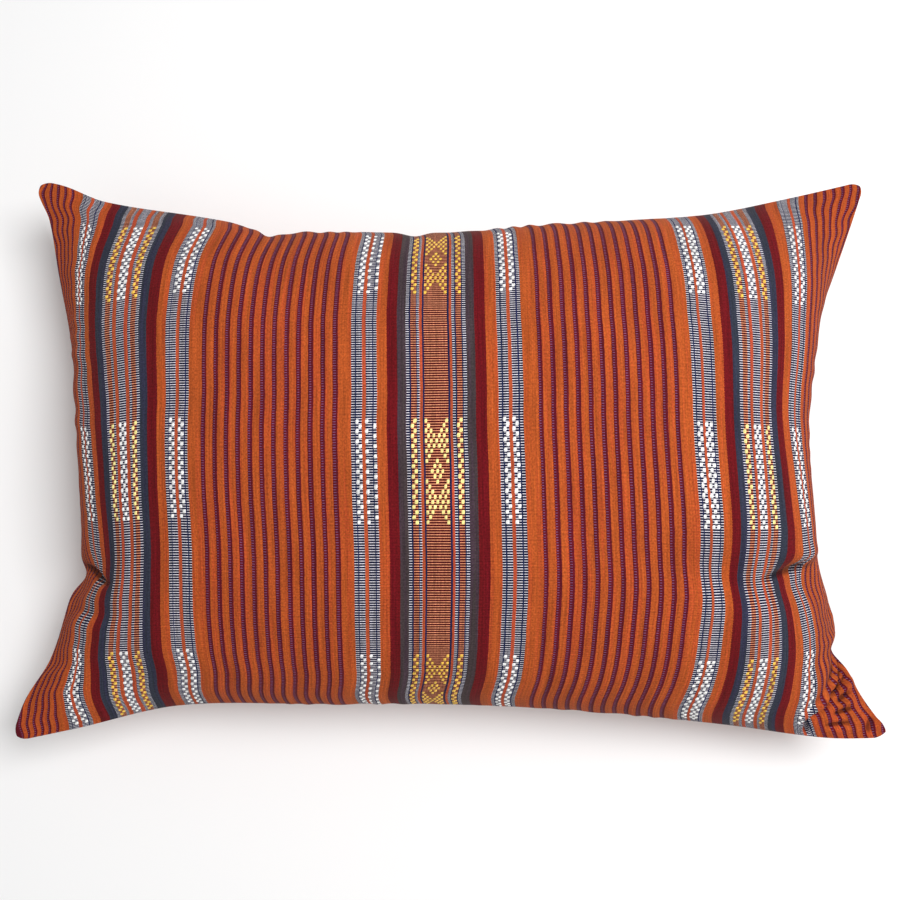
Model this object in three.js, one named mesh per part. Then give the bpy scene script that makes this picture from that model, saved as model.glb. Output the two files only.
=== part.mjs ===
// Filled lumbar cushion: two rectangular panels of woven cloth, seamed edge to edge, filled and lying
// on its back. Millimetres, +Z up, face up. The origin is under the middle of it, on the surface.
//
// A point of a panel is named by its cloth coordinates: s runs -1..1 across the stripes (+X) and
// t runs -1..1 along them (+Y), so a fold can be placed where it crosses the cloth.

import * as THREE from "three";

// Driving sizes
const PANEL_WIDTH = 610; // cut size between the seams, across the stripes
const PANEL_HEIGHT = 406; // and along them
const CROWN = 86; // top of the front panel above the seam
const BELLY = 78; // depth that the back panel would have below the seam if it hung free
const REST_DEPTH = 72; // the surface it lies on, below the seam, which flattens the back

// The middle sections, seam to seam. A squareness of 2 is an ellipse, and more is boxier. The filling
// sits fuller on the right, and the left section passes into the right one between -BLEND and BLEND.
const ACROSS_LEFT = { half: 254, squareness: 2.45 };
const ACROSS_RIGHT = { half: 254, squareness: 3.1 };
const ALONG = { half: 167, squareness: 2.1 };
const BLEND = 0.5;

const SLACK_POWER = 2; // how fast the cloth lies flat towards a seam
const SWAY = 8.5; // mm that the middle of the stripes bows to +X
const BOW = 8; // mm that the filling's weight draws the sides to -Y
const TIP_RADIUS = 14; // rounding of a turned-out corner, measured on the cloth

// The grid of both panels, in bands from -1: closer where the folds and the seams are
const COLUMN_BANDS = [
  { to: -0.74, cells: 11 },
  { to: 0.6, cells: 30 },
  { to: 1, cells: 19 },
];
const ROW_BANDS = [
  { to: -0.55, cells: 13 },
  { to: -0.22, cells: 13 },
  { to: 0.78, cells: 14 },
  { to: 1, cells: 6 },
];
const ARC_STEPS = 400;
const ROOM_FOR_FOLDS = 25; // a fold reaches its full depth where the cloth stands this far off the seam

// How far the filling draws each seam in from its straight cut edge
const TOP_SEAM = [
  { at: -1, inset: 3 },
  { at: -0.93, inset: 7.5 },
  { at: -0.83, inset: 19.5 },
  { at: -0.58, inset: 32 },
  { at: -0.42, inset: 42 },
  { at: -0.23, inset: 44 },
  { at: 0, inset: 44.5 },
  { at: 0.2, inset: 39 },
  { at: 0.4, inset: 35 },
  { at: 0.62, inset: 29 },
  { at: 0.82, inset: 16.5 },
  { at: 1, inset: 3.5 },
];
const BOTTOM_SEAM = [
  { at: -1, inset: -1 },
  { at: -0.85, inset: 8.5 },
  { at: -0.62, inset: 24 },
  { at: -0.3, inset: 25 },
  { at: 0, inset: 25 },
  { at: 0.3, inset: 20.5 },
  { at: 0.62, inset: 11 },
  { at: 0.85, inset: 2 },
  { at: 1, inset: 2 },
];
const LEFT_SEAM = [
  { at: -1, inset: 0 },
  { at: -0.86, inset: 8.5 },
  { at: -0.72, inset: 25 },
  { at: -0.55, inset: 35 },
  { at: -0.35, inset: 43.5 },
  { at: -0.1, inset: 41.5 },
  { at: 0.15, inset: 36.5 },
  { at: 0.4, inset: 30.5 },
  { at: 0.65, inset: 19.5 },
  { at: 0.85, inset: 11 },
  { at: 0.93, inset: 3.5 },
  { at: 1, inset: -0.5 },
];
const RIGHT_SEAM = [
  { at: -1, inset: -2 },
  { at: -0.82, inset: 22 },
  { at: -0.55, inset: 37.5 },
  { at: -0.25, inset: 53 },
  { at: 0.1, inset: 58 },
  { at: 0.4, inset: 43.5 },
  { at: 0.65, inset: 24.5 },
  { at: 0.85, inset: 9.5 },
  { at: 1, inset: -1 },
];

// Puckers in the seam: place along the edge, half width as a share of it, depth, reach into the panel
const PUCKERS = [
  { edge: "top", at: -0.43, spread: 0.038, depth: 7, reach: 30 },
  { edge: "top", at: -0.09, spread: 0.03, depth: 6, reach: 25 },
  { edge: "left", at: -0.43, spread: 0.045, depth: 7, reach: 22 },
  { edge: "right", at: -0.7, spread: 0.05, depth: 7.5, reach: 25 },
];

// Folds pressed into the front: from (u0, v0) to (u1, v1) in mm of cloth, the widths of the trough's
// slopes to the left and right of that run, its depth, the swelling beside it as a share of the depth
// (above 0 on the left), and whether the trough is open at its first end, as at a seam
const FOLDS = [
  { u0: -309, v0: -102, u1: -226, v1: -63, left: 17.5, right: 14.5, depth: 10, swell: -0.2, open: true },
  { u0: -320, v0: -106, u1: -203, v1: -113, left: 8, right: 6, depth: 6, swell: -0.3, open: true },
  { u0: 288, v0: -73.5, u1: 208, v1: -68.5, left: 40, right: 4.5, depth: 6.5, swell: -0.25, open: false },
  { u0: 305, v0: -91, u1: 74, v1: -61.5, left: 13, right: 15.5, depth: 8.5, swell: -0.2, open: false },
  { u0: 302, v0: -147, u1: 219, v1: -226, left: 6, right: 9, depth: 16, swell: -0.3, open: true },
];
const SWELL_OFFSET = 2.0; // the swelling lies this many slope widths to the side
const SWELL_SPREAD = 1.3;

const halfWidth = PANEL_WIDTH / 2;
const halfHeight = PANEL_HEIGHT / 2;

// A smooth curve through a seam's rows
function insetAt(rows, place) {
  let i = 0;
  while (i < rows.length - 2 && place > rows[i + 1].at) i += 1;
  const slope = (j) => {
    const before = rows[Math.max(j - 1, 0)];
    const after = rows[Math.min(j + 1, rows.length - 1)];
    return (after.inset - before.inset) / (after.at - before.at);
  };
  const span = rows[i + 1].at - rows[i].at;
  const k = THREE.MathUtils.clamp((place - rows[i].at) / span, 0, 1);
  const near = (1 + 2 * k) * (1 - k) ** 2 * rows[i].inset + k * (1 - k) ** 2 * span * slope(i);
  const far = k * k * (3 - 2 * k) * rows[i + 1].inset + k * k * (k - 1) * span * slope(i + 1);
  return near + far;
}

// A quarter superellipse, by the share of its arc: how far out and how high the cloth is there
function quarterSection({ half, squareness }) {
  const points = [];
  let arc = 0;
  for (let i = 0; i <= ARC_STEPS; i += 1) {
    const angle = (i / ARC_STEPS) * (Math.PI / 2);
    const out = Math.sin(angle) ** (2 / squareness);
    const up = i === ARC_STEPS ? 0 : Math.cos(angle) ** (2 / squareness);
    const last = points[points.length - 1];
    if (last) arc += Math.hypot(half * (out - last.out), CROWN * (up - last.up));
    points.push({ arc, out, up });
  }
  return points.map((point) => ({ ...point, arc: point.arc / arc }));
}

function onSection(points, place) {
  const arc = Math.abs(place);
  let low = 0;
  let high = points.length - 1;
  while (high - low > 1) {
    const middle = (low + high) >> 1;
    if (points[middle].arc <= arc) low = middle;
    else high = middle;
  }
  const k = (arc - points[low].arc) / (points[high].arc - points[low].arc);
  return {
    out: Math.sign(place) * THREE.MathUtils.lerp(points[low].out, points[high].out, k),
    up: THREE.MathUtils.lerp(points[low].up, points[high].up, k),
  };
}

const leftSection = quarterSection(ACROSS_LEFT);
const rightSection = quarterSection(ACROSS_RIGHT);
const alongSection = quarterSection(ALONG);

function acrossAt(s) {
  const left = onSection(leftSection, s);
  const right = onSection(rightSection, s);
  const share = THREE.MathUtils.smoothstep(s, -BLEND, BLEND);
  return {
    out: THREE.MathUtils.lerp(left.out, right.out, share),
    up: THREE.MathUtils.lerp(left.up, right.up, share),
  };
}

// The filled form without its folds
function smoothPoint(s, t, depth) {
  const across = acrossAt(s);
  const along = onSection(alongSection, t);
  const outAcross = s + (across.out - s) * along.up ** SLACK_POWER;
  const outAlong = t + (along.out - t) * across.up ** SLACK_POWER;
  const left = -halfWidth + insetAt(LEFT_SEAM, t);
  const right = halfWidth - insetAt(RIGHT_SEAM, t);
  const bottom = -halfHeight + insetAt(BOTTOM_SEAM, s);
  const top = halfHeight - insetAt(TOP_SEAM, s);
  const point = new THREE.Vector3(
    THREE.MathUtils.lerp(left, right, (outAcross + 1) / 2),
    THREE.MathUtils.lerp(bottom, top, (outAlong + 1) / 2),
    depth * across.up * along.up,
  );
  const offSeam = (1 - t ** 2) * (1 - s ** 6);
  point.x += SWAY * offSeam;
  point.y -= BOW * s ** 2 * offSeam;

  const tipAcross = Math.max(1 - ((1 - Math.abs(s)) * halfWidth) / TIP_RADIUS, 0);
  const tipAlong = Math.max(1 - ((1 - Math.abs(t)) * halfHeight) / TIP_RADIUS, 0);
  point.x -= Math.sign(s) * TIP_RADIUS * tipAcross * (1 - Math.sqrt(1 - tipAlong ** 2 / 2));
  point.y -= Math.sign(t) * TIP_RADIUS * tipAlong * (1 - Math.sqrt(1 - tipAcross ** 2 / 2));

  for (const { edge, at, spread, depth: pull, reach } of PUCKERS) {
    const runsAcross = edge === "top" || edge === "bottom";
    const way = edge === "top" || edge === "right" ? 1 : -1;
    const place = runsAcross ? s : t;
    const fromEdge = runsAcross ? (1 - way * t) * halfHeight : (1 - way * s) * halfWidth;
    const move = way * pull * Math.exp(-(((place - at) / spread) ** 2) - fromEdge / reach);
    if (runsAcross) point.y -= move;
    else point.x -= move;
  }
  return point;
}

function foldDepth(s, t) {
  const u = s * halfWidth;
  const v = t * halfHeight;
  let total = 0;
  for (const { u0, v0, u1, v1, left, right, depth, swell, open } of FOLDS) {
    const run = new THREE.Vector2(u1 - u0, v1 - v0);
    const length = run.length();
    const along = ((u - u0) * run.x + (v - v0) * run.y) / length ** 2;
    const aside = ((v - v0) * run.x - (u - u0) * run.y) / length;
    const place = THREE.MathUtils.clamp(along, 0, 1);
    const fade = (open ? Math.cos((Math.PI / 2) * place) : Math.sin(Math.PI * place)) ** 2;
    const trough = Math.exp(-((aside / (aside > 0 ? left : right)) ** 2));
    const beside = aside / (swell > 0 ? left : right) - Math.sign(swell) * SWELL_OFFSET;
    const rise = Math.abs(swell) * Math.exp(-((beside / SWELL_SPREAD) ** 2));
    total += depth * fade * (trough - rise);
  }
  return total;
}

const STEP = 1e-3;

function frontPoint(s, t) {
  const point = smoothPoint(s, t, CROWN);
  const depth = foldDepth(s, t) * THREE.MathUtils.clamp(point.z / ROOM_FOR_FOLDS, 0, 1);
  if (depth === 0) return point;
  const acrossWay = smoothPoint(s + STEP, t, CROWN).sub(smoothPoint(s - STEP, t, CROWN));
  const alongWay = smoothPoint(s, t + STEP, CROWN).sub(smoothPoint(s, t - STEP, CROWN));
  const outward = acrossWay.cross(alongWay).normalize();
  return point.addScaledVector(outward, -depth);
}

function backPoint(s, t) {
  const point = smoothPoint(s, t, -BELLY);
  point.z = Math.max(point.z, -REST_DEPTH);
  return point;
}

function gridPlaces(bands) {
  const places = [-1];
  for (const { to, cells } of bands) {
    const from = places[places.length - 1];
    for (let i = 1; i <= cells; i += 1) places.push(THREE.MathUtils.lerp(from, to, i / cells));
  }
  return places;
}

// Both panels on one grid. They share the points of the seam, so the cushion is one closed body.
function cushionGeometry() {
  const positions = [];
  const indices = [];
  const addPoint = ({ x, y, z }) => positions.push(x, y, z) / 3 - 1;
  const columns = gridPlaces(COLUMN_BANDS);
  const rows = gridPlaces(ROW_BANDS);
  const onSeam = (s, t) => Math.abs(s) === 1 || Math.abs(t) === 1;
  const front = columns.map((s) => rows.map((t) => addPoint(frontPoint(s, t))));
  const back = columns.map((s, i) =>
    rows.map((t, j) => (onSeam(s, t) ? front[i][j] : addPoint(backPoint(s, t)))),
  );
  for (let i = 0; i < columns.length - 1; i += 1) {
    for (let j = 0; j < rows.length - 1; j += 1) {
      const corners = [[i, j], [i + 1, j], [i + 1, j + 1], [i, j + 1]];
      const [a, b, c, d] = corners.map(([m, n]) => front[m][n]);
      const [e, f, g, h] = corners.map(([m, n]) => back[m][n]);
      // The diagonal turns with the quarter, so that the corner cells keep both of their triangles open
      const rising = (columns[i] < 0) === (rows[j] < 0);
      if (rising) indices.push(a, b, c, a, c, d, e, g, f, e, h, g);
      else indices.push(a, b, d, b, c, d, e, h, f, f, h, g);
    }
  }
  const geometry = new THREE.BufferGeometry();
  geometry.setAttribute("position", new THREE.Float32BufferAttribute(positions, 3));
  geometry.setIndex(indices);
  return geometry;
}

function cushion() {
  const geometry = cushionGeometry();
  geometry.computeBoundingBox();
  const middle = geometry.boundingBox.getCenter(new THREE.Vector3());
  geometry.translate(-middle.x, -middle.y, -geometry.boundingBox.min.z);
  geometry.computeVertexNormals();
  const cloth = new THREE.MeshStandardMaterial({ color: 0xc2571f, roughness: 0.9, metalness: 0 });
  const mesh = new THREE.Mesh(geometry, cloth);
  mesh.name = "cushion";
  return mesh;
}

const part = new THREE.Group();
part.add(cushion());

export default part;
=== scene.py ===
import math

import bpy
import numpy as np
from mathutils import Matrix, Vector


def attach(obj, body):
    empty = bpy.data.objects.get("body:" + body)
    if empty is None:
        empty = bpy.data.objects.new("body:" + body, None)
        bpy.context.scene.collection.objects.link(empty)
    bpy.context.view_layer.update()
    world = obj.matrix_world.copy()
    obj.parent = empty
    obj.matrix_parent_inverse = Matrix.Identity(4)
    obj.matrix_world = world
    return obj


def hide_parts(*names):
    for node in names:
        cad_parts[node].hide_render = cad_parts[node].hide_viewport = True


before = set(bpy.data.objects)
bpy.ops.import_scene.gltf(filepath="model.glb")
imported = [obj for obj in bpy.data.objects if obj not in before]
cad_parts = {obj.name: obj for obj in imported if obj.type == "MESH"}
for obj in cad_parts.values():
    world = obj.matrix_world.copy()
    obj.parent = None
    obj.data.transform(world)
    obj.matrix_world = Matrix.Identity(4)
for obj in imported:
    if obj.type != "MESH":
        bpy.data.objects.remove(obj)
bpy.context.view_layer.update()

# Filled lumbar cushion of warp-striped handwoven cloth, lying on its back.
# Cloth coordinates in millimetres: u runs across the stripes, v along them, both from the middle.
# s and t are the same as shares of the half width and half height of a panel.

MM = 0.001
# The cut size between the seams, across the stripes and along them
PANEL_WIDTH = 610.0
PANEL_HEIGHT = 406.0
HALF_U = PANEL_WIDTH / 2
HALF_V = PANEL_HEIGHT / 2
# Above the seam: the top of the front. Below it: the back if it hung free, and the surface it lies on
CROWN = 86.0
BELLY = 78.0
REST_DEPTH = 72.0
# The middle sections, seam to seam. A squareness of 2 is an ellipse, and more is boxier. The filling
# sits fuller on the right, and the left section passes into the right one between -BLEND and BLEND.
HALF_ACROSS = 254.0
LEFT_SQUARENESS = 2.45
RIGHT_SQUARENESS = 3.1
BLEND = 0.5
HALF_ALONG = 167.0
ALONG_SQUARENESS = 2.1
# How fast the cloth lies flat towards a seam
SLACK_POWER = 2
# How far the middle of the stripes bows to +X, and how far the filling draws the sides to -Y
SWAY = 8.5
BOW = 8.0
TIP_RADIUS = 14.0
ARC_STEPS = 400
# A fold reaches its full depth where the cloth stands this far off the seam
ROOM_FOR_FOLDS = 25.0

# How far the filling draws each seam in from its straight cut edge: place along it, inset
TOP_SEAM = [(-1, 3), (-.93, 7.5), (-.83, 19.5), (-.58, 32), (-.42, 42), (-.23, 44), (0, 44.5),
            (.2, 39), (.4, 35), (.62, 29), (.82, 16.5), (1, 3.5)]
BOTTOM_SEAM = [(-1, -1), (-.85, 8.5), (-.62, 24), (-.3, 25), (0, 25), (.3, 20.5), (.62, 11),
               (.85, 2), (1, 2)]
LEFT_SEAM = [(-1, 0), (-.86, 8.5), (-.72, 25), (-.55, 35), (-.35, 43.5), (-.1, 41.5), (.15, 36.5),
             (.4, 30.5), (.65, 19.5), (.85, 11), (.93, 3.5), (1, -.5)]
RIGHT_SEAM = [(-1, -2), (-.82, 22), (-.55, 37.5), (-.25, 53), (.1, 58), (.4, 43.5), (.65, 24.5),
              (.85, 9.5), (1, -1)]

# Puckers in the seam: edge, place along it, half width as a share of it, depth, reach into the panel
PUCKERS = [
    ("top", -.43, .038, 7, 30),
    ("top", -.09, .03, 6, 25),
    ("left", -.43, .045, 7, 22),
    ("right", -.7, .05, 7.5, 25),
]

# Folds pressed into the front: from (u, v) to (u, v), widths of the slopes to the left and right of that
# run, depth, swelling beside it (above 0 on the left), and whether it is open at its first end
FOLDS = [
    (-309, -102, -226, -63, 17.5, 14.5, 10, -.2, True),
    (-320, -106, -203, -113, 8, 6, 6, -.3, True),
    (288, -73.5, 208, -68.5, 40, 4.5, 6.5, -.25, False),
    (305, -91, 74, -61.5, 13, 15.5, 8.5, -.2, False),
    (302, -147, 219, -226, 6, 9, 16, -.3, True),
]
SWELL_OFFSET = 2.0
SWELL_SPREAD = 1.3

CELLS_U = 384
CELLS_V = 256


def inset_at(rows, place):
    """A smooth curve through a seam's rows."""
    at = np.array([row[0] for row in rows], float)
    inset = np.array([row[1] for row in rows], float)
    slope = np.empty_like(inset)
    slope[1:-1] = (inset[2:] - inset[:-2]) / (at[2:] - at[:-2])
    slope[0] = (inset[1] - inset[0]) / (at[1] - at[0])
    slope[-1] = (inset[-1] - inset[-2]) / (at[-1] - at[-2])
    i = np.clip(np.searchsorted(at, place) - 1, 0, len(at) - 2)
    span = at[i + 1] - at[i]
    k = np.clip((place - at[i]) / span, 0, 1)
    near = (1 + 2 * k) * (1 - k) ** 2 * inset[i] + k * (1 - k) ** 2 * span * slope[i]
    far = k * k * (3 - 2 * k) * inset[i + 1] + k * k * (k - 1) * span * slope[i + 1]
    return near + far


def quarter_section(half, squareness):
    """A quarter superellipse by the share of its arc: how far out and how high the cloth is there."""
    angle = np.linspace(0, math.pi / 2, ARC_STEPS + 1)
    out = np.sin(angle) ** (2 / squareness)
    up = np.abs(np.cos(angle)) ** (2 / squareness)
    up[-1] = 0
    arc = np.concatenate([[0], np.cumsum(np.hypot(half * np.diff(out), CROWN * np.diff(up)))])
    return arc / arc[-1], out, up


def on_section(section, place):
    """How far out and how high the cloth is at a signed share of the section."""
    arc, out, up = section
    share = np.abs(place)
    return np.interp(share, arc, out) * np.sign(place), np.interp(share, arc, up)


LEFT_SECTION = quarter_section(HALF_ACROSS, LEFT_SQUARENESS)
RIGHT_SECTION = quarter_section(HALF_ACROSS, RIGHT_SQUARENESS)
ALONG_SECTION = quarter_section(HALF_ALONG, ALONG_SQUARENESS)


def section_across(s):
    """The left section passing into the right one."""
    left_out, left_up = on_section(LEFT_SECTION, s)
    right_out, right_up = on_section(RIGHT_SECTION, s)
    share = np.clip((s + BLEND) / (2 * BLEND), 0, 1)
    share = share * share * (3 - 2 * share)
    return left_out + (right_out - left_out) * share, left_up + (right_up - left_up) * share


def rounded_tips(x, y, s, t):
    """The turned-out corners, rounded."""
    tip_s = np.clip(1 - (1 - np.abs(s)) * HALF_U / TIP_RADIUS, 0, 1)
    tip_t = np.clip(1 - (1 - np.abs(t)) * HALF_V / TIP_RADIUS, 0, 1)
    x = x - np.sign(s) * TIP_RADIUS * tip_s * (1 - np.sqrt(1 - tip_t ** 2 / 2))
    y = y - np.sign(t) * TIP_RADIUS * tip_t * (1 - np.sqrt(1 - tip_s ** 2 / 2))
    return x, y


def puckered(x, y, s, t):
    """The seam pulled in at its puckers."""
    for edge, at, spread, pull, reach in PUCKERS:
        runs_across = edge in ("top", "bottom")
        way = 1 if edge in ("top", "right") else -1
        place = s if runs_across else t
        from_edge = (1 - way * t) * HALF_V if runs_across else (1 - way * s) * HALF_U
        move = way * pull * np.exp(-((place - at) / spread) ** 2 - from_edge / reach)
        if runs_across:
            y = y - move
        else:
            x = x - move
    return x, y


def smooth_points(s, t, depth):
    """The filled form without its folds."""
    across_out, across_up = section_across(s)
    along_out, along_up = on_section(ALONG_SECTION, t)
    out_s = s + (across_out - s) * along_up ** SLACK_POWER
    out_t = t + (along_out - t) * across_up ** SLACK_POWER
    left = -HALF_U + inset_at(LEFT_SEAM, t)
    right = HALF_U - inset_at(RIGHT_SEAM, t)
    bottom = -HALF_V + inset_at(BOTTOM_SEAM, s)
    top = HALF_V - inset_at(TOP_SEAM, s)
    off_seam = (1 - t ** 2) * (1 - s ** 6)
    x = left + (right - left) * (out_s + 1) / 2 + SWAY * off_seam
    y = bottom + (top - bottom) * (out_t + 1) / 2 - BOW * s ** 2 * off_seam
    x, y = rounded_tips(x, y, s, t)
    x, y = puckered(x, y, s, t)
    return np.stack([x, y, depth * across_up * along_up], -1)


def beside_run(u, v, u0, v0, u1, v1):
    """The share of a straight run that a place lies at, and how far it lies to the left of it."""
    du, dv = u1 - u0, v1 - v0
    length = math.hypot(du, dv)
    along = ((u - u0) * du + (v - v0) * dv) / length ** 2
    aside = ((v - v0) * du - (u - u0) * dv) / length
    return along, aside


def fold_depth(u, v):
    """How deep the folds lie, in millimetres. Their swelling counts below 0."""
    total = np.zeros(np.broadcast(u, v).shape)
    for u0, v0, u1, v1, left, right, depth, swell, is_open in FOLDS:
        along, aside = beside_run(u, v, u0, v0, u1, v1)
        if is_open:
            fade = np.cos(math.pi / 2 * np.clip(along, 0, 1)) ** 2
        else:
            fade = np.sin(math.pi * np.clip(along, 0, 1)) ** 2
        trough = np.exp(-(aside / np.where(aside > 0, left, right)) ** 2)
        beside = aside / (left if swell > 0 else right) - math.copysign(SWELL_OFFSET, swell)
        total += depth * fade * (trough - abs(swell) * np.exp(-(beside / SWELL_SPREAD) ** 2))
    return total


def normals_of(points):
    """The outward normals of a panel's grid."""
    across = np.gradient(points, axis=0)
    along = np.gradient(points, axis=1)
    normal = np.cross(across, along)
    return normal / np.maximum(np.linalg.norm(normal, axis=-1, keepdims=True), 1e-12)


# Gathers along the seam: the ripples that the sewing draws into both panels
GATHER_SPACING = 19.0
GATHER_DEPTH = .7
GATHER_REACH = 12.0
# The wander of their spacing: two waves with their size, their length and how often they count the phase
GATHER_WANDER = [(2.2, 23, 1), (1.3, 9.7, 2)]
# Their strength swings about a middle and never falls below a least
GATHER_MIDDLE = .45
GATHER_SWING = .55
GATHER_SWING_RUN = 31
GATHER_LEAST = .1


def gathers(s, t):
    """How far the ripples lift the cloth, in millimetres."""
    total = np.zeros_like(s)
    edges = ((s, t, HALF_U, HALF_V, 0.0), (-s, t, HALF_U, HALF_V, 2.0),
             (t, s, HALF_V, HALF_U, 4.0), (-t, s, HALF_V, HALF_U, 5.5))
    for out, place, reach_out, reach_along, phase in edges:
        run = place * reach_along
        wander = sum(size * np.sin(run / length + turns * phase) for size, length, turns in GATHER_WANDER)
        wave = np.sin(2 * math.pi * run / GATHER_SPACING + wander)
        swing = GATHER_SWING * np.sin(run / GATHER_SWING_RUN + 3 * phase)
        strength = np.clip(GATHER_MIDDLE + swing, GATHER_LEAST, 1)
        off = (1 - out) * reach_out / GATHER_REACH
        total += wave * strength * off * np.exp(1 - off) * np.clip(1 - place ** 4, 0, 1)
    return GATHER_DEPTH * total


# Sharp creases at the bottom of the folds and in the crushed corner on the right: from (u, v) to (u, v),
# half width, depth, and the swelling beside it as a share of the depth, above 0 on its left
CREASES = [
    (-305, -80, -246, -89, 3.2, 4.5, 0),
    (254, -70, 204, -77, 3.6, 2.6, 0),
    (280, -169, 306, -146, 2.8, 9.0, .5),
    (262, -180, 292, -158, 2.8, 9.0, .5),
    (248, -187, 277, -171, 2.8, 8.0, .5),
    (246, -201, 256, -180, 2.6, 5.0, .5),
    (287, -168, 304, -157, 2.3, 4.5, -.3),
    (279, -176, 299, -169, 2.3, 4.0, -.3),
    (271, -184, 293, -180, 2.3, 3.5, -.3),
    (262, -192, 284, -190, 2.3, 3.0, -.3),
    (290, -199, 303, -188, 2.3, 3.0, -.3),
]
# The deepest crease, as a share of the cloth's height above the seam, and how soon its ends run out
CREASE_ROOM = 1.6
CREASE_FADE = .7
LIP_OFFSET = 1.9
LIP_SPREAD = 1.1


def crease_depth(u, v):
    """How deep the creases lie, in millimetres. Their lips count below 0."""
    total = np.zeros_like(u)
    for u0, v0, u1, v1, width, depth, lip in CREASES:
        along, aside = beside_run(u, v, u0, v0, u1, v1)
        aside = aside / width
        fade = np.sin(math.pi * np.clip(along, 0, 1)) ** CREASE_FADE
        rise = abs(lip) * np.exp(-((aside - math.copysign(LIP_OFFSET, lip)) / LIP_SPREAD) ** 2)
        total += depth * fade * (np.exp(-aside ** 2) - rise)
    return total


def front_points(s, t):
    points = smooth_points(s, t, CROWN)
    room = np.clip(points[..., 2] / ROOM_FOR_FOLDS, 0, 1)
    lift = gathers(s, t) - fold_depth(s * HALF_U, t * HALF_V) * room
    return points + normals_of(points) * lift[..., None]


def back_points(s, t):
    points = smooth_points(s, t, -BELLY)
    points = points - normals_of(points) * gathers(s, t)[..., None]
    points[..., 2] = np.maximum(points[..., 2], -REST_DEPTH)
    return points


def panel_grid():
    """s and t at every point of a panel's grid."""
    s = np.linspace(-1, 1, CELLS_U + 1)[:, None].repeat(CELLS_V + 1, 1)
    t = np.linspace(-1, 1, CELLS_V + 1)[None, :].repeat(CELLS_U + 1, 0)
    return s, t


grid_s, grid_t = panel_grid()
front_form = front_points(grid_s, grid_t)
back_form = back_points(grid_s, grid_t)
low = np.minimum(front_form.min((0, 1)), back_form.min((0, 1)))
high = np.maximum(front_form.max((0, 1)), back_form.max((0, 1)))
SHIFT = np.array([-(low[0] + high[0]) / 2, -(low[1] + high[1]) / 2, REST_DEPTH])


# How far the stripes stray sideways from the straight, in whole millimetres as read off
# the photo: the uneven stretch of handwoven cloth that is cut and filled by hand. Rows are the place
# along the stripes. Columns are the place across them: the left edge, the outer pair, the outer group
# and the inner pair on the left, the middle, the same three on the right, and the right edge.
STRAY_ACROSS = [-305, -270, -228, -184, 0, 165, 206, 247, 305]
STRAY = [
    (-203, [-24, -6, -6, -7, 2, 1, -2, 2, 8]),
    (-165, [-14, 7, 1, -4, 0, -3, -8, -9, 0]),
    (-140, [-12, 15, 9, 3, 2, -3, -6, -8, 8]),
    (-110, [-12, 8, 8, 4, 3, -1, -1, -2, 12]),
    (-80, [-12, 7, 8, 5, 3, -2, 1, 0, 14]),
    (-50, [-12, 2, 5, 3, 1, 0, 2, -1, 12]),
    (-10, [-12, 2, 2, 1, -2, 0, 0, 1, 12]),
    (35, [-12, 5, 1, -2, -3, 0, 1, 8, 12]),
    (85, [-12, 15, 7, 2, 1, 4, 2, 6, 12]),
    (140, [-12, 16, 8, 1, 3, 5, 4, 2, 10]),
    (175, [-12, 10, 6, -3, 4, 3, 5, -2, 8]),
    (203, [-16, 0, -2, -6, 4, 1, 4, -2, 8]),
]
STRAY_BLUR = 4
# How far the blocks stray along the stripes
ALONG_STRAY_ACROSS = [-305, -215, -110, 0, 110, 215, 305]
ALONG_STRAY = [
    (-203, [5, 5.5, 1.5, 0, -.5, -4, -3]),
    (-131, [5, 5.5, 1.5, 0, -.5, -4.5, -3]),
    (-46, [0, 0, 0, 0, 0, -1, -1]),
    (20, [0, 0, .5, -.5, 0, 0, 0]),
    (105, [-2, -2, -1, 0, 1, 3.5, 3]),
    (203, [-2, -2, -1, 0, 1, 3, 3]),
]
# The waver of the outermost stripes: its size, where it sets in, and its waves with their size, their
# lengths along and across the stripes, and their phase
WAVER = 1.0
WAVER_FROM = 240.0
WAVER_FULL = 290.0
WAVES = [(1, 4.3, 17, 0), (.7, 2.7, -11, 2), (.8, 9.1, math.inf, 1)]


def blurred(field, cells):
    """The field averaged twice over a square of 2 x cells + 1 grid points."""
    kernel = np.ones(2 * cells + 1) / (2 * cells + 1)
    for _ in range(2):
        for axis in (0, 1):
            pad = [(cells, cells) if a == axis else (0, 0) for a in (0, 1)]
            field = np.apply_along_axis(np.convolve, axis, np.pad(field, pad, "edge"), kernel, "valid")
    return field


def stray_field(columns, table):
    """A stray table as a smooth field on the panel's grid."""
    u = grid_s[:, 0] * HALF_U
    v = grid_t[0] * HALF_V
    rows = np.array([np.interp(u, columns, shifts) for _, shifts in table])
    places = [place for place, _ in table]
    field = np.array([np.interp(v, places, rows[:, i]) for i in range(len(u))])
    return blurred(field, STRAY_BLUR)


def waver(u, v):
    share = np.clip((np.abs(u) - WAVER_FROM) / (WAVER_FULL - WAVER_FROM), 0, 1)
    wave = sum(size * np.sin(v / along + u / across + phase) for size, along, across, phase in WAVES)
    return WAVER * share * share * wave


grid_drift = stray_field(STRAY_ACROSS, STRAY) + waver(grid_s * HALF_U, grid_t * HALF_V)
along_drift = stray_field(ALONG_STRAY_ACROSS, ALONG_STRAY)

# The cloth around a point reaches this many cells of the grid
CAVITY_CELLS = 2


def cavity(points):
    """How deep each point lies below the cloth around it, in millimetres."""
    around = np.stack([blurred(points[..., axis], CAVITY_CELLS) for axis in range(3)], -1)
    return np.clip(((around - points) * normals_of(points)).sum(-1), 0, None)


def grid_faces(columns, rows):
    """The quads of a grid of points."""
    index = np.arange(columns * rows).reshape(columns, rows)
    return np.stack([index[:-1, :-1], index[1:, :-1], index[1:, 1:], index[:-1, 1:]], -1).reshape(-1, 4)


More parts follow.
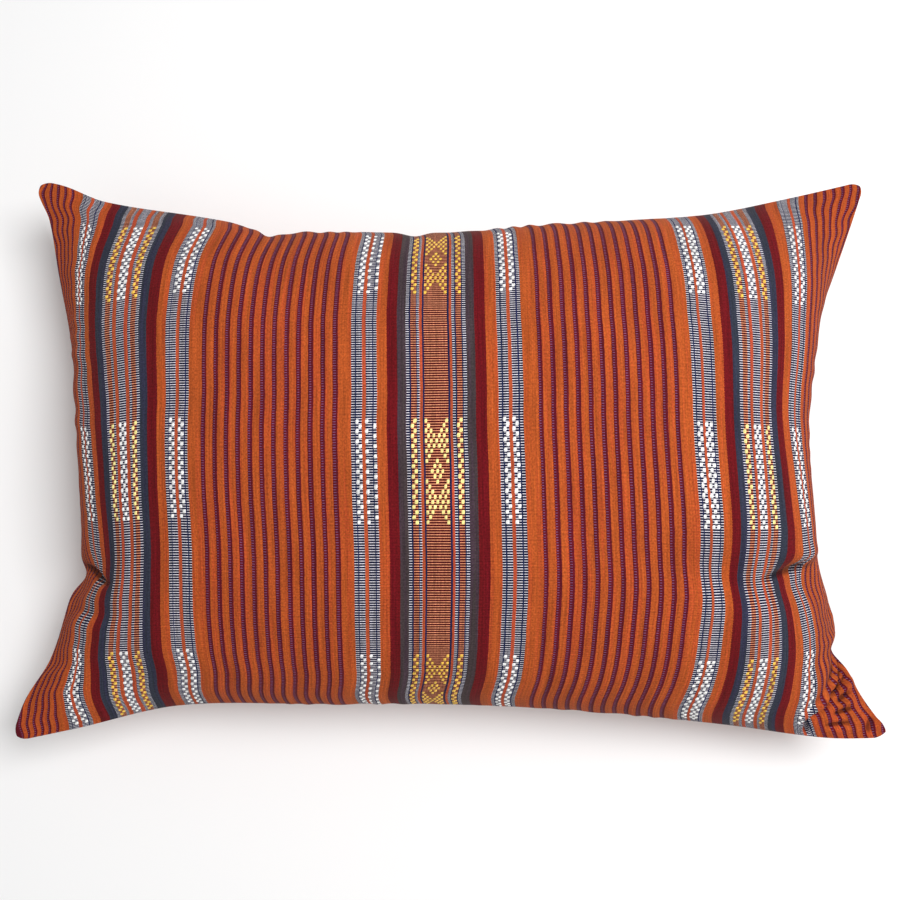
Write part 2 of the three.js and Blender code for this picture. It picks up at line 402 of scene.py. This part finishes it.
def panel_mesh(name, points, facing_up):
    """A panel as one grid of faces, with its cloth coordinates and the depth of its hollows, which the
    material paints as shade.
    """
    faces = grid_faces(*points.shape[:2])
    if not facing_up:
        faces = faces[:, ::-1]
    uv = np.stack([grid_s / 2 + .5, grid_t / 2 + .5], -1).reshape(-1, 2)
    cloth = np.stack([grid_s * HALF_U + grid_drift, grid_t * HALF_V + along_drift], -1).reshape(-1, 2)
    panel = grid_object(name, points.reshape(-1, 3), faces, uv, cloth)
    # The depth of the hollows, which the cloth's material turns into painted shade
    depth = panel.data.attributes.new("cavity", "FLOAT", "POINT")
    depth.data.foreach_set("value", cavity(points).astype(np.float32).ravel())
    return panel


def grid_object(name, vertices, faces, uv, cloth):
    """A smooth mesh with two UV maps: one for baking, and Cloth with the cloth coordinates in metres."""
    mesh = bpy.data.meshes.new(name)
    mesh.vertices.add(len(vertices))
    mesh.vertices.foreach_set("co", ((vertices + SHIFT) * MM).astype(np.float32).ravel())
    mesh.loops.add(faces.size)
    mesh.loops.foreach_set("vertex_index", faces.ravel().astype(np.int32))
    mesh.polygons.add(len(faces))
    mesh.polygons.foreach_set("loop_start", np.arange(0, faces.size, faces.shape[1], dtype=np.int32))
    mesh.update(calc_edges=True)
    mesh.polygons.foreach_set("use_smooth", np.ones(len(faces), bool))
    for map_name, values in (("OFBake", uv), ("Cloth", cloth * MM)):
        layer = mesh.uv_layers.new(name=map_name)
        layer.data.foreach_set("uv", values[faces.ravel()].astype(np.float32).ravel())
    mesh.validate()
    piece = bpy.data.objects.new(name, mesh)
    bpy.context.scene.collection.objects.link(piece)
    return piece


# The cloth settles over its filling: a coarser net of the front panel with the lengths of the flat cut
# panel, its seam held, under the pressure of the filling. Only how far it moves is kept, up to a limit.
NET_STRIDE = 4
SPARE_CLOTH = 1.03
SETTLE_FRAMES = 25
SETTLE_LIMIT = 6.0
SETTLE_BLUR = 3
SEAM_HOLD = 12.0
PRESSURE = 30.0


def net_object(points, flat):
    """The net, with the flat cut panel as a shape of its own and its edge in a group."""
    columns, rows = points.shape[:2]
    mesh = bpy.data.meshes.new("net")
    mesh.from_pydata((points.reshape(-1, 3) * MM).tolist(), [], grid_faces(columns, rows).tolist())
    net = bpy.data.objects.new("net", mesh)
    bpy.context.scene.collection.objects.link(net)
    net.shape_key_add(name="filled")
    cut = net.shape_key_add(name="cut")
    cut.data.foreach_set("co", (flat.reshape(-1, 3) * MM).astype(np.float32).ravel())
    held = net.vertex_groups.new(name="held")
    index = np.arange(columns * rows).reshape(columns, rows)
    edge = np.concatenate([index[0], index[-1], index[:, 0], index[:, -1]])
    held.add(np.unique(edge).tolist(), 1.0, "REPLACE")
    return net


def make_cloth(net):
    """The settings of the simulation: a woven cotton under the pressure of its filling, weightless."""
    cloth = net.modifiers.new("settle", "CLOTH")
    rules = cloth.settings
    rules.quality = 6
    rules.mass = .02
    rules.tension_stiffness = 60
    rules.compression_stiffness = 60
    rules.shear_stiffness = 8
    rules.bending_stiffness = .5
    rules.vertex_group_mass = "held"
    rules.rest_shape_key = net.data.shape_keys.key_blocks["cut"]
    rules.use_pressure = True
    rules.uniform_pressure_force = PRESSURE
    rules.effector_weights.gravity = 0
    cloth.collision_settings.use_collision = False


def run_cloth(net):
    """Where the net's points are at the end, in metres."""
    scene = bpy.context.scene
    for number in range(1, SETTLE_FRAMES + 1):
        scene.frame_set(number)
    settled = net.evaluated_get(bpy.context.evaluated_depsgraph_get())
    places = np.empty(len(settled.data.vertices) * 3, np.float32)
    settled.data.vertices.foreach_get("co", places)
    scene.frame_set(1)
    return places


def settle(points):
    """How far each grid point of the front moves, in millimetres."""
    coarse = points[::NET_STRIDE, ::NET_STRIDE]
    flat = np.stack([grid_s * HALF_U, grid_t * HALF_V, np.zeros_like(grid_s)], -1) * SPARE_CLOTH
    net = net_object(coarse, flat[::NET_STRIDE, ::NET_STRIDE])
    make_cloth(net)
    places = run_cloth(net)
    bpy.data.objects.remove(net)
    moved = places.reshape(coarse.shape) / MM - coarse
    length = np.linalg.norm(moved, axis=-1, keepdims=True)
    moved *= SETTLE_LIMIT * np.tanh(length / SETTLE_LIMIT) / np.maximum(length, 1e-9)
    moved = refined(moved)
    return np.stack([blurred(moved[..., axis], SETTLE_BLUR) for axis in range(3)], -1) * held_edge()


def held_edge():
    """0 at the seam, rising to 1 over SEAM_HOLD millimetres."""
    off = np.minimum((1 - np.abs(grid_s)) * HALF_U, (1 - np.abs(grid_t)) * HALF_V)
    return np.clip(off / SEAM_HOLD, 0, 1)[..., None]


def refined(field):
    """A field of the net on the panel's grid."""
    for axis in (0, 1):
        count = (field.shape[axis] - 1) * NET_STRIDE + 1
        place = np.arange(count) / NET_STRIDE
        field = np.apply_along_axis(lambda line: np.interp(place, np.arange(len(line)), line), axis, field)
    return field


front_form = front_form + settle(front_form)
creases = crease_depth(grid_s * HALF_U, grid_t * HALF_V)
creases = np.minimum(creases, front_form[..., 2] * CREASE_ROOM)
front_form = front_form - normals_of(front_form) * creases[..., None]


def linear(red, green, blue):
    """A colour as the eye sees it, 0 to 255, as light."""
    shares = [value / 255 for value in (red, green, blue)]
    light = [share / 12.92 if share <= .04045 else ((share + .055) / 1.055) ** 2.4 for share in shares]
    return (*light, 1)


# Colours of the yarns
YARN = {
    "orange": linear(166, 76, 32),
    "red": linear(96, 14, 20),
    "slate": linear(44, 49, 62),
    "smoke": linear(62, 52, 54),
    "navy": linear(22, 32, 66),
    "coral": linear(168, 74, 42),
    "plum": linear(116, 76, 110),
    "wine": linear(86, 16, 28),
    "ink": linear(11, 18, 46),
    "silver": linear(216, 212, 218),
    "umber": linear(72, 9, 15),
    "blush": linear(228, 152, 112),
}

# A stripe's ground and the ticks across it. The floats of a block lie over its last six kinds.
CLOTH = {
    "orange": ("orange", "orange"),
    "red": ("red", "red"),
    "slate": ("slate", "slate"),
    "smoke": ("smoke", "smoke"),
    "navy": ("navy", "navy"),
    "coral": ("coral", "coral"),
    "plum": ("wine", "plum"),
    "wine": ("wine", "wine"),
    "ticks": ("ink", "silver"),
    "white_zigzag": ("ink", "silver"),
    "white_triple": ("ink", "silver"),
    "white_near": ("ink", "silver"),
    "white_far": ("ink", "silver"),
    "yellow_zigzag": ("umber", "blush"),
    "lattice": ("umber", "blush"),
}

PURPLE = [("wine", .5), ("plum", 1.5), ("wine", 1.3)]
PURPLE_WIDTH = sum(width for _, width in PURPLE)
PITCH = 8.1


def purple_stripes(count):
    row = []
    for _ in range(count):
        row += PURPLE + [("orange", PITCH - PURPLE_WIDTH)]
    return row


WHITE_PAIR = [("ticks", 2.4), ("navy", .7), ("white_zigzag", 4.0), ("coral", 2.3),
              ("white_zigzag", 4.4), ("navy", .8), ("ticks", 2.0)]
OPEN_PAIR = [("ticks", 2.4), ("navy", .7), ("white_zigzag", 4.0), ("coral", 2.3),
             ("white_near", 4.4), ("navy", .8), ("white_far", 2.0)]
OUTER_GROUP = [("ticks", 2.4), ("yellow_zigzag", 3.7), ("ticks", 2.0), ("coral", 2.4),
               ("white_triple", 5.8), ("coral", 2.4), ("ticks", 2.0), ("yellow_zigzag", 3.8),
               ("ticks", 2.3)]
# The warp from left to right: stripe and width
WARP = (
    purple_stripes(6)
    + [("orange", 3.7)] + WHITE_PAIR + [("orange", 5.4), ("red", 5.9), ("slate", 5.5)]
    + OUTER_GROUP + [("slate", 5.3), ("red", 7.0), ("orange", 6.1)] + WHITE_PAIR + [("orange", 9.2)]
    + purple_stripes(12)
    + [("orange", 4.1)] + OPEN_PAIR
    + [("orange", 6.5), ("red", 6.8), ("smoke", 5.8), ("ticks", 2.1), ("navy", 1.0),
       ("yellow_zigzag", 3.5), ("navy", .5), ("ticks", 1.5), ("coral", 2.0), ("navy", .9),
       ("lattice", 15.6),
       ("navy", 1.1), ("coral", 1.7), ("ticks", 1.8), ("navy", 1.0), ("yellow_zigzag", 3.5),
       ("navy", .9), ("ticks", 2.1), ("smoke", 5.6), ("red", 7.4), ("orange", 7.4)]
    + [("ticks", 2.1), ("navy", .9), ("white_zigzag", 3.8), ("coral", 2.3), ("white_zigzag", 3.8),
       ("navy", .9), ("ticks", 2.4), ("orange", 9.6)]
    + purple_stripes(12)
    + [("orange", 4.3)]
    + [("ticks", 1.8), ("navy", 1.0), ("white_zigzag", 3.6), ("coral", 2.0), ("white_triple", 5.2),
       ("navy", .7), ("ticks", 2.0)]
    + [("orange", 6.2), ("red", 6.4), ("slate", 4.8)] + OUTER_GROUP
    + [("slate", 5.5), ("red", 6.6), ("orange", 7.6)] + WHITE_PAIR + [("orange", 4.8)]
    + purple_stripes(8)
)
# Where the middle of the lattice lies
LATTICE_MIDDLE = -9.6


def warp_edges():
    """The stripes with the place of their left edge, the lattice being in the middle of the chart."""
    place = 0.0
    rows = []
    middle = 0.0
    for kind, width in WARP:
        if kind == "lattice":
            middle = place + width / 2
        rows.append([place, width, kind])
        place += width
    for row in rows:
        row[0] += LATTICE_MIDDLE - middle
    return rows


STRIPES = warp_edges()
WARP_LOW = STRIPES[0][0]
WARP_HIGH = STRIPES[-1][0] + STRIPES[-1][1]

# The ticks, and the three blocks: their spacing, the middle one's place, and their rows of floats
TICK_PITCH = 1.63
BLOCK_PITCH = 151.2
BLOCK_MIDDLE = -13.0
FLOAT_ROWS = 21
FLOAT_LENGTH = 3.12
BLOCK_HALF = FLOAT_ROWS * FLOAT_LENGTH / 2

# Brocade floats: short thick yarns that lie over the ground in the blocks. For each kind of stripe, the
# places of its half columns as shares of its width, and the ones that a row of each parity fills
FLOAT_COLUMNS = {
    "white_zigzag": ([.25, .75], [[0], [1]]),
    "white_triple": ([.17, .5, .83], [[0, 2], [1]]),
    "white_near": ([.22], [[0], []]),
    "white_far": ([.5], [[], [0]]),
    "yellow_zigzag": ([.25, .75], [[1], [0]]),
}
# A float's width, its share of the row, its height over and under the cloth, and its points across and along
FLOAT_WIDTH = 2.4
FLOAT_SHARE = .93
FLOAT_RISE = .5
FLOAT_SINK = .15
FLOAT_POINTS = (5, 4)
# The lattice: its columns, and the rows and reach of its crosses and of the diamond between them
LATTICE_FLOAT_WIDTH = 2.0
LATTICE_COLUMNS = 9
LATTICE_PITCH = 1.66
LATTICE_AXIS = LATTICE_COLUMNS // 2
CROSS_ROWS = (5, 17)
CROSS_REACH = 4
DIAMOND_ROW = 11
DIAMOND_REACH = 2
# No float lies on a crease deeper than this
FLOAT_CREASE_LIMIT = 1.5
# Floats end this far before the seam, along the stripes and across them
FLOAT_MARGIN_ALONG = 8
FLOAT_MARGIN_ACROSS = 6
# The unevenness of hand weaving: places in millimetres, rise and width as shares
FLOAT_JITTER = .06
RISE_JITTER = .12
WIDTH_JITTER = .05
# How often the place of a float is corrected for the stray of the cloth under it
STRAY_STEPS = 6


def lattice_filled(column, row):
    """Two crosses with a diamond between them, on every second place of the lattice."""
    if (column + row) % 2 == 0:
        return False
    aside = abs(column - LATTICE_AXIS)
    offs = [abs(row - middle) for middle in CROSS_ROWS]
    in_cross = any(off <= min(aside, CROSS_REACH) for off in offs)
    return in_cross or aside + abs(row - DIAMOND_ROW) <= DIAMOND_REACH


def block_floats():
    """Every float in one block, from its top row: place across, width, row, colour of yarn."""
    made = []
    for place, width, kind in STRIPES:
        for row in range(FLOAT_ROWS):
            if kind in FLOAT_COLUMNS:
                shares, filled = FLOAT_COLUMNS[kind]
                for i in filled[row % 2]:
                    made.append((place + width * shares[i], FLOAT_WIDTH, row, kind.split("_")[0]))
            if kind == "lattice":
                for column in range(LATTICE_COLUMNS):
                    if lattice_filled(column, row + 1):
                        across = place + width / 2 + (column - LATTICE_AXIS) * LATTICE_PITCH
                        made.append((across, LATTICE_FLOAT_WIDTH, row, "yellow"))
    return made


def at_grid(field, u, v):
    """A field of the panel's grid at places on the panel, between its points."""
    i = np.clip((u / HALF_U + 1) / 2 * CELLS_U, 0, CELLS_U - 1e-6)
    j = np.clip((v / HALF_V + 1) / 2 * CELLS_V, 0, CELLS_V - 1e-6)
    i0, j0 = i.astype(int), j.astype(int)
    a, b = i - i0, j - j0
    if field.ndim == 3:
        a, b = a[..., None], b[..., None]
    low_row = field[i0, j0] * (1 - a) + field[i0 + 1, j0] * a
    high_row = field[i0, j0 + 1] * (1 - a) + field[i0 + 1, j0 + 1] * a
    return low_row * (1 - b) + high_row * b


def on_panel(points, normals, across, along, height):
    """Points of the cloth at cloth coordinates, raised by a height. The stray is undone by iteration."""
    u, v = across, along
    for _ in range(STRAY_STEPS):
        u, v = across - at_grid(grid_drift, u, v), along - at_grid(along_drift, u, v)
    place = at_grid(points, u, v) + at_grid(normals, u, v) * height[..., None]
    return place, np.stack([u, v], -1)


def float_centres(colour):
    """The places across and along and the widths of one colour's floats, none on a sharp crease."""
    centres = []
    for block in (-1, 0, 1):
        top = BLOCK_MIDDLE + block * BLOCK_PITCH + BLOCK_HALF
        for across, width, row, yarn in block_floats():
            along = top - (row + .5) * FLOAT_LENGTH
            inside_along = abs(along) < HALF_V - FLOAT_MARGIN_ALONG
            inside_across = abs(across) < HALF_U - FLOAT_MARGIN_ACROSS
            if yarn == colour and inside_along and inside_across:
                centres.append((across, along, width))
    centres = np.array(centres)
    return centres[np.abs(crease_depth(centres[:, 0], centres[:, 1])) < FLOAT_CREASE_LIMIT]


def brocade(name, colour, points, normals):
    """All the floats of one colour as one mesh of small rounded pads."""
    random = np.random.default_rng(7)
    centres = float_centres(colour)
    centres[:, :2] += random.normal(0, FLOAT_JITTER, (len(centres), 2))
    wide, long = FLOAT_POINTS
    a, b = np.meshgrid(np.linspace(-1, 1, wide), np.linspace(-1, 1, long), indexing="ij")
    swell = np.sqrt(np.clip(1 - np.abs(a) ** 4, 0, 1)) * np.sqrt(np.clip(1 - np.abs(b) ** 6, 0, 1))
    rise = FLOAT_RISE * (1 + random.normal(0, RISE_JITTER, len(centres)))
    width = centres[:, 2] * (1 + random.normal(0, WIDTH_JITTER, len(centres)))
    across = centres[:, 0, None, None] + a * width[:, None, None] / 2
    along = centres[:, 1, None, None] + b * FLOAT_LENGTH * FLOAT_SHARE / 2
    height = swell * (rise + FLOAT_SINK)[:, None, None] - FLOAT_SINK
    place, on_form = on_panel(points, normals, across, along, height)
    starts = np.arange(len(centres)) * wide * long
    faces = (grid_faces(wide, long)[None] + starts[:, None, None]).reshape(-1, 4)
    uv = on_form.reshape(-1, 2) / [PANEL_WIDTH, PANEL_HEIGHT] + .5
    cloth = np.stack([across, along], -1).reshape(-1, 2)
    return grid_object(name, place.reshape(-1, 3), faces, uv, cloth)


# A colour ramp holds 32 stops at most
RAMP_STOPS = 30


class Shader:
    """Short names for the nodes of one material."""

    def __init__(self, name):
        self.material = bpy.data.materials.new(name)
        self.material.use_nodes = True
        self.tree = self.material.node_tree
        self.tree.nodes.clear()
        output = self.node("ShaderNodeOutputMaterial")
        self.shader = self.node("ShaderNodeBsdfPrincipled")
        self.link(self.shader.outputs["BSDF"], output.inputs["Surface"])

    def node(self, kind, **settings):
        made = self.tree.nodes.new(kind)
        for key, value in settings.items():
            setattr(made, key, value)
        return made

    def link(self, source, target):
        self.tree.links.new(source, target)

    def feed(self, socket, value):
        if isinstance(value, bpy.types.NodeSocket):
            self.link(value, socket)
        else:
            socket.default_value = value

    def math(self, operation, a, b=0.0, c=0.0):
        made = self.node("ShaderNodeMath", operation=operation)
        for socket, value in zip(made.inputs, (a, b, c)):
            self.feed(socket, value)
        return made.outputs[0]

    def mix(self, share, a, b, blend="MIX"):
        made = self.node("ShaderNodeMix", data_type="RGBA", blend_type=blend)
        self.feed(made.inputs[0], share)
        self.feed(made.inputs[6], a)
        self.feed(made.inputs[7], b)
        return made.outputs[2]

    def smooth(self, value, low, high):
        made = self.node("ShaderNodeMapRange", interpolation_type="SMOOTHSTEP")
        self.feed(made.inputs["Value"], value)
        made.inputs["From Min"].default_value = low
        made.inputs["From Max"].default_value = high
        return made.outputs[0]

    def noise(self, across, along, size_across, size_along, detail=2.0):
        """Noise between 0 and 1, its grain stretched to the two sizes in millimetres."""
        place = self.node("ShaderNodeCombineXYZ")
        self.link(self.math("DIVIDE", across, size_across), place.inputs[0])
        self.link(self.math("DIVIDE", along, size_along), place.inputs[1])
        made = self.node("ShaderNodeTexNoise")
        made.inputs["Scale"].default_value = 1.0
        made.inputs["Detail"].default_value = detail
        self.link(place.outputs[0], made.inputs["Vector"])
        return made.outputs["Fac"]

    def one_ramp(self, place, edges, first, last):
        """Sharp-edged stops between two places. edges: (place, colour)."""
        made = self.node("ShaderNodeValToRGB")
        made.color_ramp.interpolation = "CONSTANT"
        stops = made.color_ramp.elements
        while len(stops) > 1:
            stops.remove(stops[-1])
        stops[0].position = 0
        stops[0].color = edges[0][1]
        for at, colour in edges[1:]:
            stops.new((at - first) / (last - first)).color = colour
        share = self.math("DIVIDE", self.math("SUBTRACT", place, first), last - first)
        self.link(share, made.inputs[0])
        return made.outputs[0]

    def ramp(self, place, edges, low, high):
        """Sharp-edged stops along the chart, in as many ramps as they need."""
        starts = range(0, len(edges), RAMP_STOPS)
        bounds = [low] + [edges[start][0] for start in starts[1:]] + [high]
        result = None
        for number, start in enumerate(starts):
            first, last = bounds[number:number + 2]
            part = self.one_ramp(place, edges[start:start + RAMP_STOPS], first, last)
            if number == 0:
                result = part
            else:
                result = self.mix(self.math("GREATER_THAN", place, first), result, part)
        return result

    def bump(self, height, strength, distance):
        made = self.node("ShaderNodeBump")
        made.inputs["Strength"].default_value = strength
        made.inputs["Distance"].default_value = distance
        self.link(height, made.inputs["Height"])
        self.link(made.outputs[0], self.shader.inputs["Normal"])

    def roughness(self, across, along, size, least, spread):
        grain = self.noise(across, along, size, size)
        self.link(self.math("MULTIPLY_ADD", grain, spread, least), self.shader.inputs["Roughness"])


def merged(colours):
    """Chart rows with equal neighbours joined."""
    rows = []
    for place, colour in colours:
        if not rows or rows[-1][1] != colour:
            rows.append((place, colour))
    return rows


def cloth_place(shader):
    """Cloth coordinates in millimetres from the cloth's UV map."""
    uv = shader.node("ShaderNodeUVMap", uv_map="Cloth")
    parts = shader.node("ShaderNodeSeparateXYZ")
    shader.link(uv.outputs[0], parts.inputs[0])
    across = shader.math("DIVIDE", parts.outputs[0], MM)
    along = shader.math("DIVIDE", parts.outputs[1], MM)
    return across, along


# The painted shade of creases and hollows: the depths in millimetres where it sets in and is full, its
# strength, its tint
SHADE_FROM = .12
SHADE_FULL = 1.1
SHADE_STRENGTH = .75
SHADE_TINT = (.12, .1, .12, 1)
SHEEN_TINT = (1, .7, .5, 1)
# The pitch of the yarns, and how much each set of yarns counts in the relief
WARP_YARN = .62
BROCADE_YARN = .55
WARP_RELIEF = .25
WEFT_RELIEF = .35


def finish_cloth(shader, colour, across, along):
    """What all the cloth shares: painted shade in its creases and hollows, a matt sheen and the relief of
    the weave.
    """
    # Painted shade: the colour darkens with how deep each point lies below the cloth around it
    depth = shader.node("ShaderNodeAttribute", attribute_name="cavity").outputs["Fac"]
    share = shader.math("MULTIPLY", shader.smooth(depth, SHADE_FROM, SHADE_FULL), SHADE_STRENGTH)
    colour = shader.mix(share, colour, shader.mix(1.0, colour, SHADE_TINT, "MULTIPLY"))
    sockets = shader.shader.inputs
    shader.feed(sockets["Base Color"], colour)
    sockets["Sheen Weight"].default_value = .04
    sockets["Sheen Tint"].default_value = SHEEN_TINT
    sockets["Sheen Roughness"].default_value = .5
    sockets["Specular IOR Level"].default_value = .1
    shader.bump(rep_weave(shader, across, along), .55, .3 * MM)
    shader.roughness(across, along, 6.0, .82, .12)


def ribs(shader, place, pitch):
    """A wave between -1 and 1 of one rib for each pitch."""
    return shader.math("SINE", shader.math("MULTIPLY", place, 2 * math.pi / pitch))


def rep_weave(shader, across, along):
    """The height of a rep weave: fine warp yarns over weft ribs."""
    warp = shader.math("MULTIPLY", ribs(shader, across, WARP_YARN), WARP_RELIEF)
    weft = shader.math("MULTIPLY", ribs(shader, along, TICK_PITCH), WEFT_RELIEF)
    return shader.math("ADD", warp, weft)


# Uneven dye. Each grain has its size across and along the stripes in millimetres, its detail, and how far
# it lightens or darkens the yarn: single yarns and broad streaks, slubs, flecks, and slow clouds
GRAINS = [
    (1.0, 45.0, 1.0, 1.0),
    (3.2, 110.0, 2.0, .5),
    (9.0, 1.3, 2.0, .4),
    (1.1, 1.3, 0.0, .8),
    (45.0, 55.0, 2.0, .3),
]


def mottled(shader, colour, across, along):
    """The colour with its uneven dye."""
    total = 1.0
    for size_across, size_along, detail, spread in GRAINS:
        grain = shader.noise(across, along, size_across, size_along, detail)
        total = shader.math("MULTIPLY", total, shader.math("MULTIPLY_ADD", grain, spread, 1 - spread / 2))
    grey = shader.node("ShaderNodeCombineColor")
    for socket in grey.inputs:
        shader.link(total, socket)
    return shader.mix(1.0, colour, grey.outputs[0], "MULTIPLY")


# The redder dye lot: its tint and strength, and its streaks with their size across and along the stripes
REDDER_TINT = (1.1, .84, 1.25, 1)
REDDER_SHARE = .8
REDDER_GRAIN = (3.6, 150.0)


def redder(shader, colour, across, along):
    """Broad streaks of a redder dye lot."""
    streaks = shader.noise(across, along, *REDDER_GRAIN)
    share = shader.math("MULTIPLY", shader.smooth(streaks, .45, .62), REDDER_SHARE)
    return shader.mix(share, colour, shader.mix(1.0, colour, REDDER_TINT, "MULTIPLY"))


# How far the stripes' edges wobble in millimetres, over patches of this size across and along them
WOBBLE = .5
WOBBLE_GRAIN = (30.0, 5.0)
# A tick sets in and is full at these heights of its wave
TICK_FROM = .5
TICK_FULL = .78


def striped_material():
    """The front's cloth: stripes of the chart, and the ticks across them."""
    shader = Shader("striped_cloth")
    across, along = cloth_place(shader)
    wobble = shader.noise(across, along, *WOBBLE_GRAIN)
    across_yarn = shader.math("ADD", across, shader.math("MULTIPLY_ADD", wobble, WOBBLE, -WOBBLE / 2))
    ground = merged((place, YARN[CLOTH[kind][0]]) for place, _, kind in STRIPES)
    ticks = merged((place, YARN[CLOTH[kind][1]]) for place, _, kind in STRIPES)
    ground_colour = shader.ramp(across_yarn, ground, WARP_LOW, WARP_HIGH)
    ground_colour = redder(shader, ground_colour, across, along)
    tick_colour = shader.ramp(across_yarn, ticks, WARP_LOW, WARP_HIGH)
    tick = shader.smooth(ribs(shader, along, TICK_PITCH), TICK_FROM, TICK_FULL)
    colour = mottled(shader, shader.mix(tick, ground_colour, tick_colour), across, along)
    finish_cloth(shader, colour, across, along)
    return shader.material


def plain_material():
    """The back's cloth, in the ground colour of the front."""
    shader = Shader("plain_cloth")
    across, along = cloth_place(shader)
    colour = mottled(shader, redder(shader, YARN["orange"], across, along), across, along)
    finish_cloth(shader, colour, across, along)
    return shader.material


# How far from the border between two blocks the middle block's colour passes into the painted shade of the
# outer ones
OUTER_SHADE_BLEND = 5


def yarn_material(name, colour, outer_colour):
    """Loosely spun brocade yarn with a fine twist across its length. The outer blocks on the sloping ends
    take the outer colour, a painted shade.
    """
    shader = Shader(name)
    across, along = cloth_place(shader)
    # Painted shade: the outer blocks, on the sloping ends, take the darker outer colour
    off_middle = shader.math("ABSOLUTE", shader.math("SUBTRACT", along, BLOCK_MIDDLE))
    outer = shader.smooth(off_middle, BLOCK_PITCH / 2 - OUTER_SHADE_BLEND, BLOCK_PITCH / 2 + OUTER_SHADE_BLEND)
    colour = mottled(shader, shader.mix(outer, colour, outer_colour), across, along)
    sockets = shader.shader.inputs
    shader.feed(sockets["Base Color"], colour)
    sockets["Sheen Weight"].default_value = .25
    sockets["Sheen Roughness"].default_value = .4
    sockets["Specular IOR Level"].default_value = .3
    shader.bump(ribs(shader, across, BROCADE_YARN), .5, .2 * MM)
    shader.roughness(across, along, 3.0, .65, .15)
    return shader.material


front = panel_mesh("front_panel", front_form, True)
front.data.materials.append(striped_material())
back = panel_mesh("back_panel", back_form, False)
back.data.materials.append(plain_material())
for panel in (front, back):
    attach(panel, "root")
    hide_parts("cushion")


# The brocade yarns: the colour of the middle block, and of the outer ones with painted shade: a darker,
# deeper yellow on the sloping ends
BROCADE_MIDDLE_AND_OUTER = {
    "white": (linear(240, 240, 238), linear(240, 240, 238)),
    "yellow": (linear(250, 234, 150), linear(236, 190, 74)),
}
front_normals = normals_of(front_form)
for yarn, (colour, outer_colour) in BROCADE_MIDDLE_AND_OUTER.items():
    floats = brocade("brocade_" + yarn, yarn, front_form, front_normals)
    floats.data.materials.append(yarn_material(yarn + "_yarn", colour, outer_colour))
    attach(floats, "root")
    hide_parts("cushion")


FLOOR_REACH = 6.0
FLOOR_GREY = (.86, .86, .86, 1)
SKY_STRENGTH = .42
# Soft lights in metres and watts: name, place, size, power
LIGHTS = [
    ("key", (.68, .25, 1.62), .8, 29),
    ("fill", (-.6, -.5, 1.9), 1.6, 4),
]
# Where the lights are turned to
LIT_PLACE = Vector((0, 0, .05))


def floor_plane():
    low, high = -FLOOR_REACH, FLOOR_REACH
    corners = [(low, low, 0), (high, low, 0), (high, high, 0), (low, high, 0)]
    mesh = bpy.data.meshes.new("floor")
    mesh.from_pydata(corners, [], [(0, 1, 2, 3)])
    floor = bpy.data.objects.new("floor", mesh)
    bpy.context.scene.collection.objects.link(floor)
    pale = Shader("floor")
    pale.shader.inputs["Base Color"].default_value = FLOOR_GREY
    pale.shader.inputs["Roughness"].default_value = .8
    mesh.materials.append(pale.material)


def sky():
    world = bpy.data.worlds.new("studio")
    world.use_nodes = True
    background = world.node_tree.nodes["Background"]
    background.inputs["Color"].default_value = (1, 1, 1, 1)
    background.inputs["Strength"].default_value = SKY_STRENGTH
    bpy.context.scene.world = world
    bpy.context.scene.view_settings.view_transform = "Standard"


def area_light(name, place, size, power):
    light = bpy.data.lights.new(name, "AREA")
    light.size = size
    light.energy = power
    lamp = bpy.data.objects.new(name, light)
    lamp.location = place
    lamp.rotation_mode = "QUATERNION"
    lamp.rotation_quaternion = (LIT_PLACE - Vector(place)).to_track_quat("-Z", "Y")
    bpy.context.scene.collection.objects.link(lamp)


# The camera of the photo: 6 degrees off straight down, from the side of the bottom seam
CAMERA_DISTANCE = .708
CAMERA_TILT = math.radians(6)
CAMERA_LENS = 39.56
CAMERA_SENSOR = 36


def photo_camera():
    lens = bpy.data.cameras.new("camera")
    lens.lens = CAMERA_LENS
    lens.sensor_width = CAMERA_SENSOR
    camera = bpy.data.objects.new("camera", lens)
    target = Vector(SHIFT * MM)
    way = Vector((0, -math.sin(CAMERA_TILT), math.cos(CAMERA_TILT)))
    camera.location = target + CAMERA_DISTANCE * way
    camera.rotation_mode = "QUATERNION"
    camera.rotation_quaternion = (target - camera.location).to_track_quat("-Z", "Y")
    bpy.context.scene.collection.objects.link(camera)
    bpy.context.scene.camera = camera


floor_plane()
sky()
for light in LIGHTS:
    area_light(*light)
photo_camera()
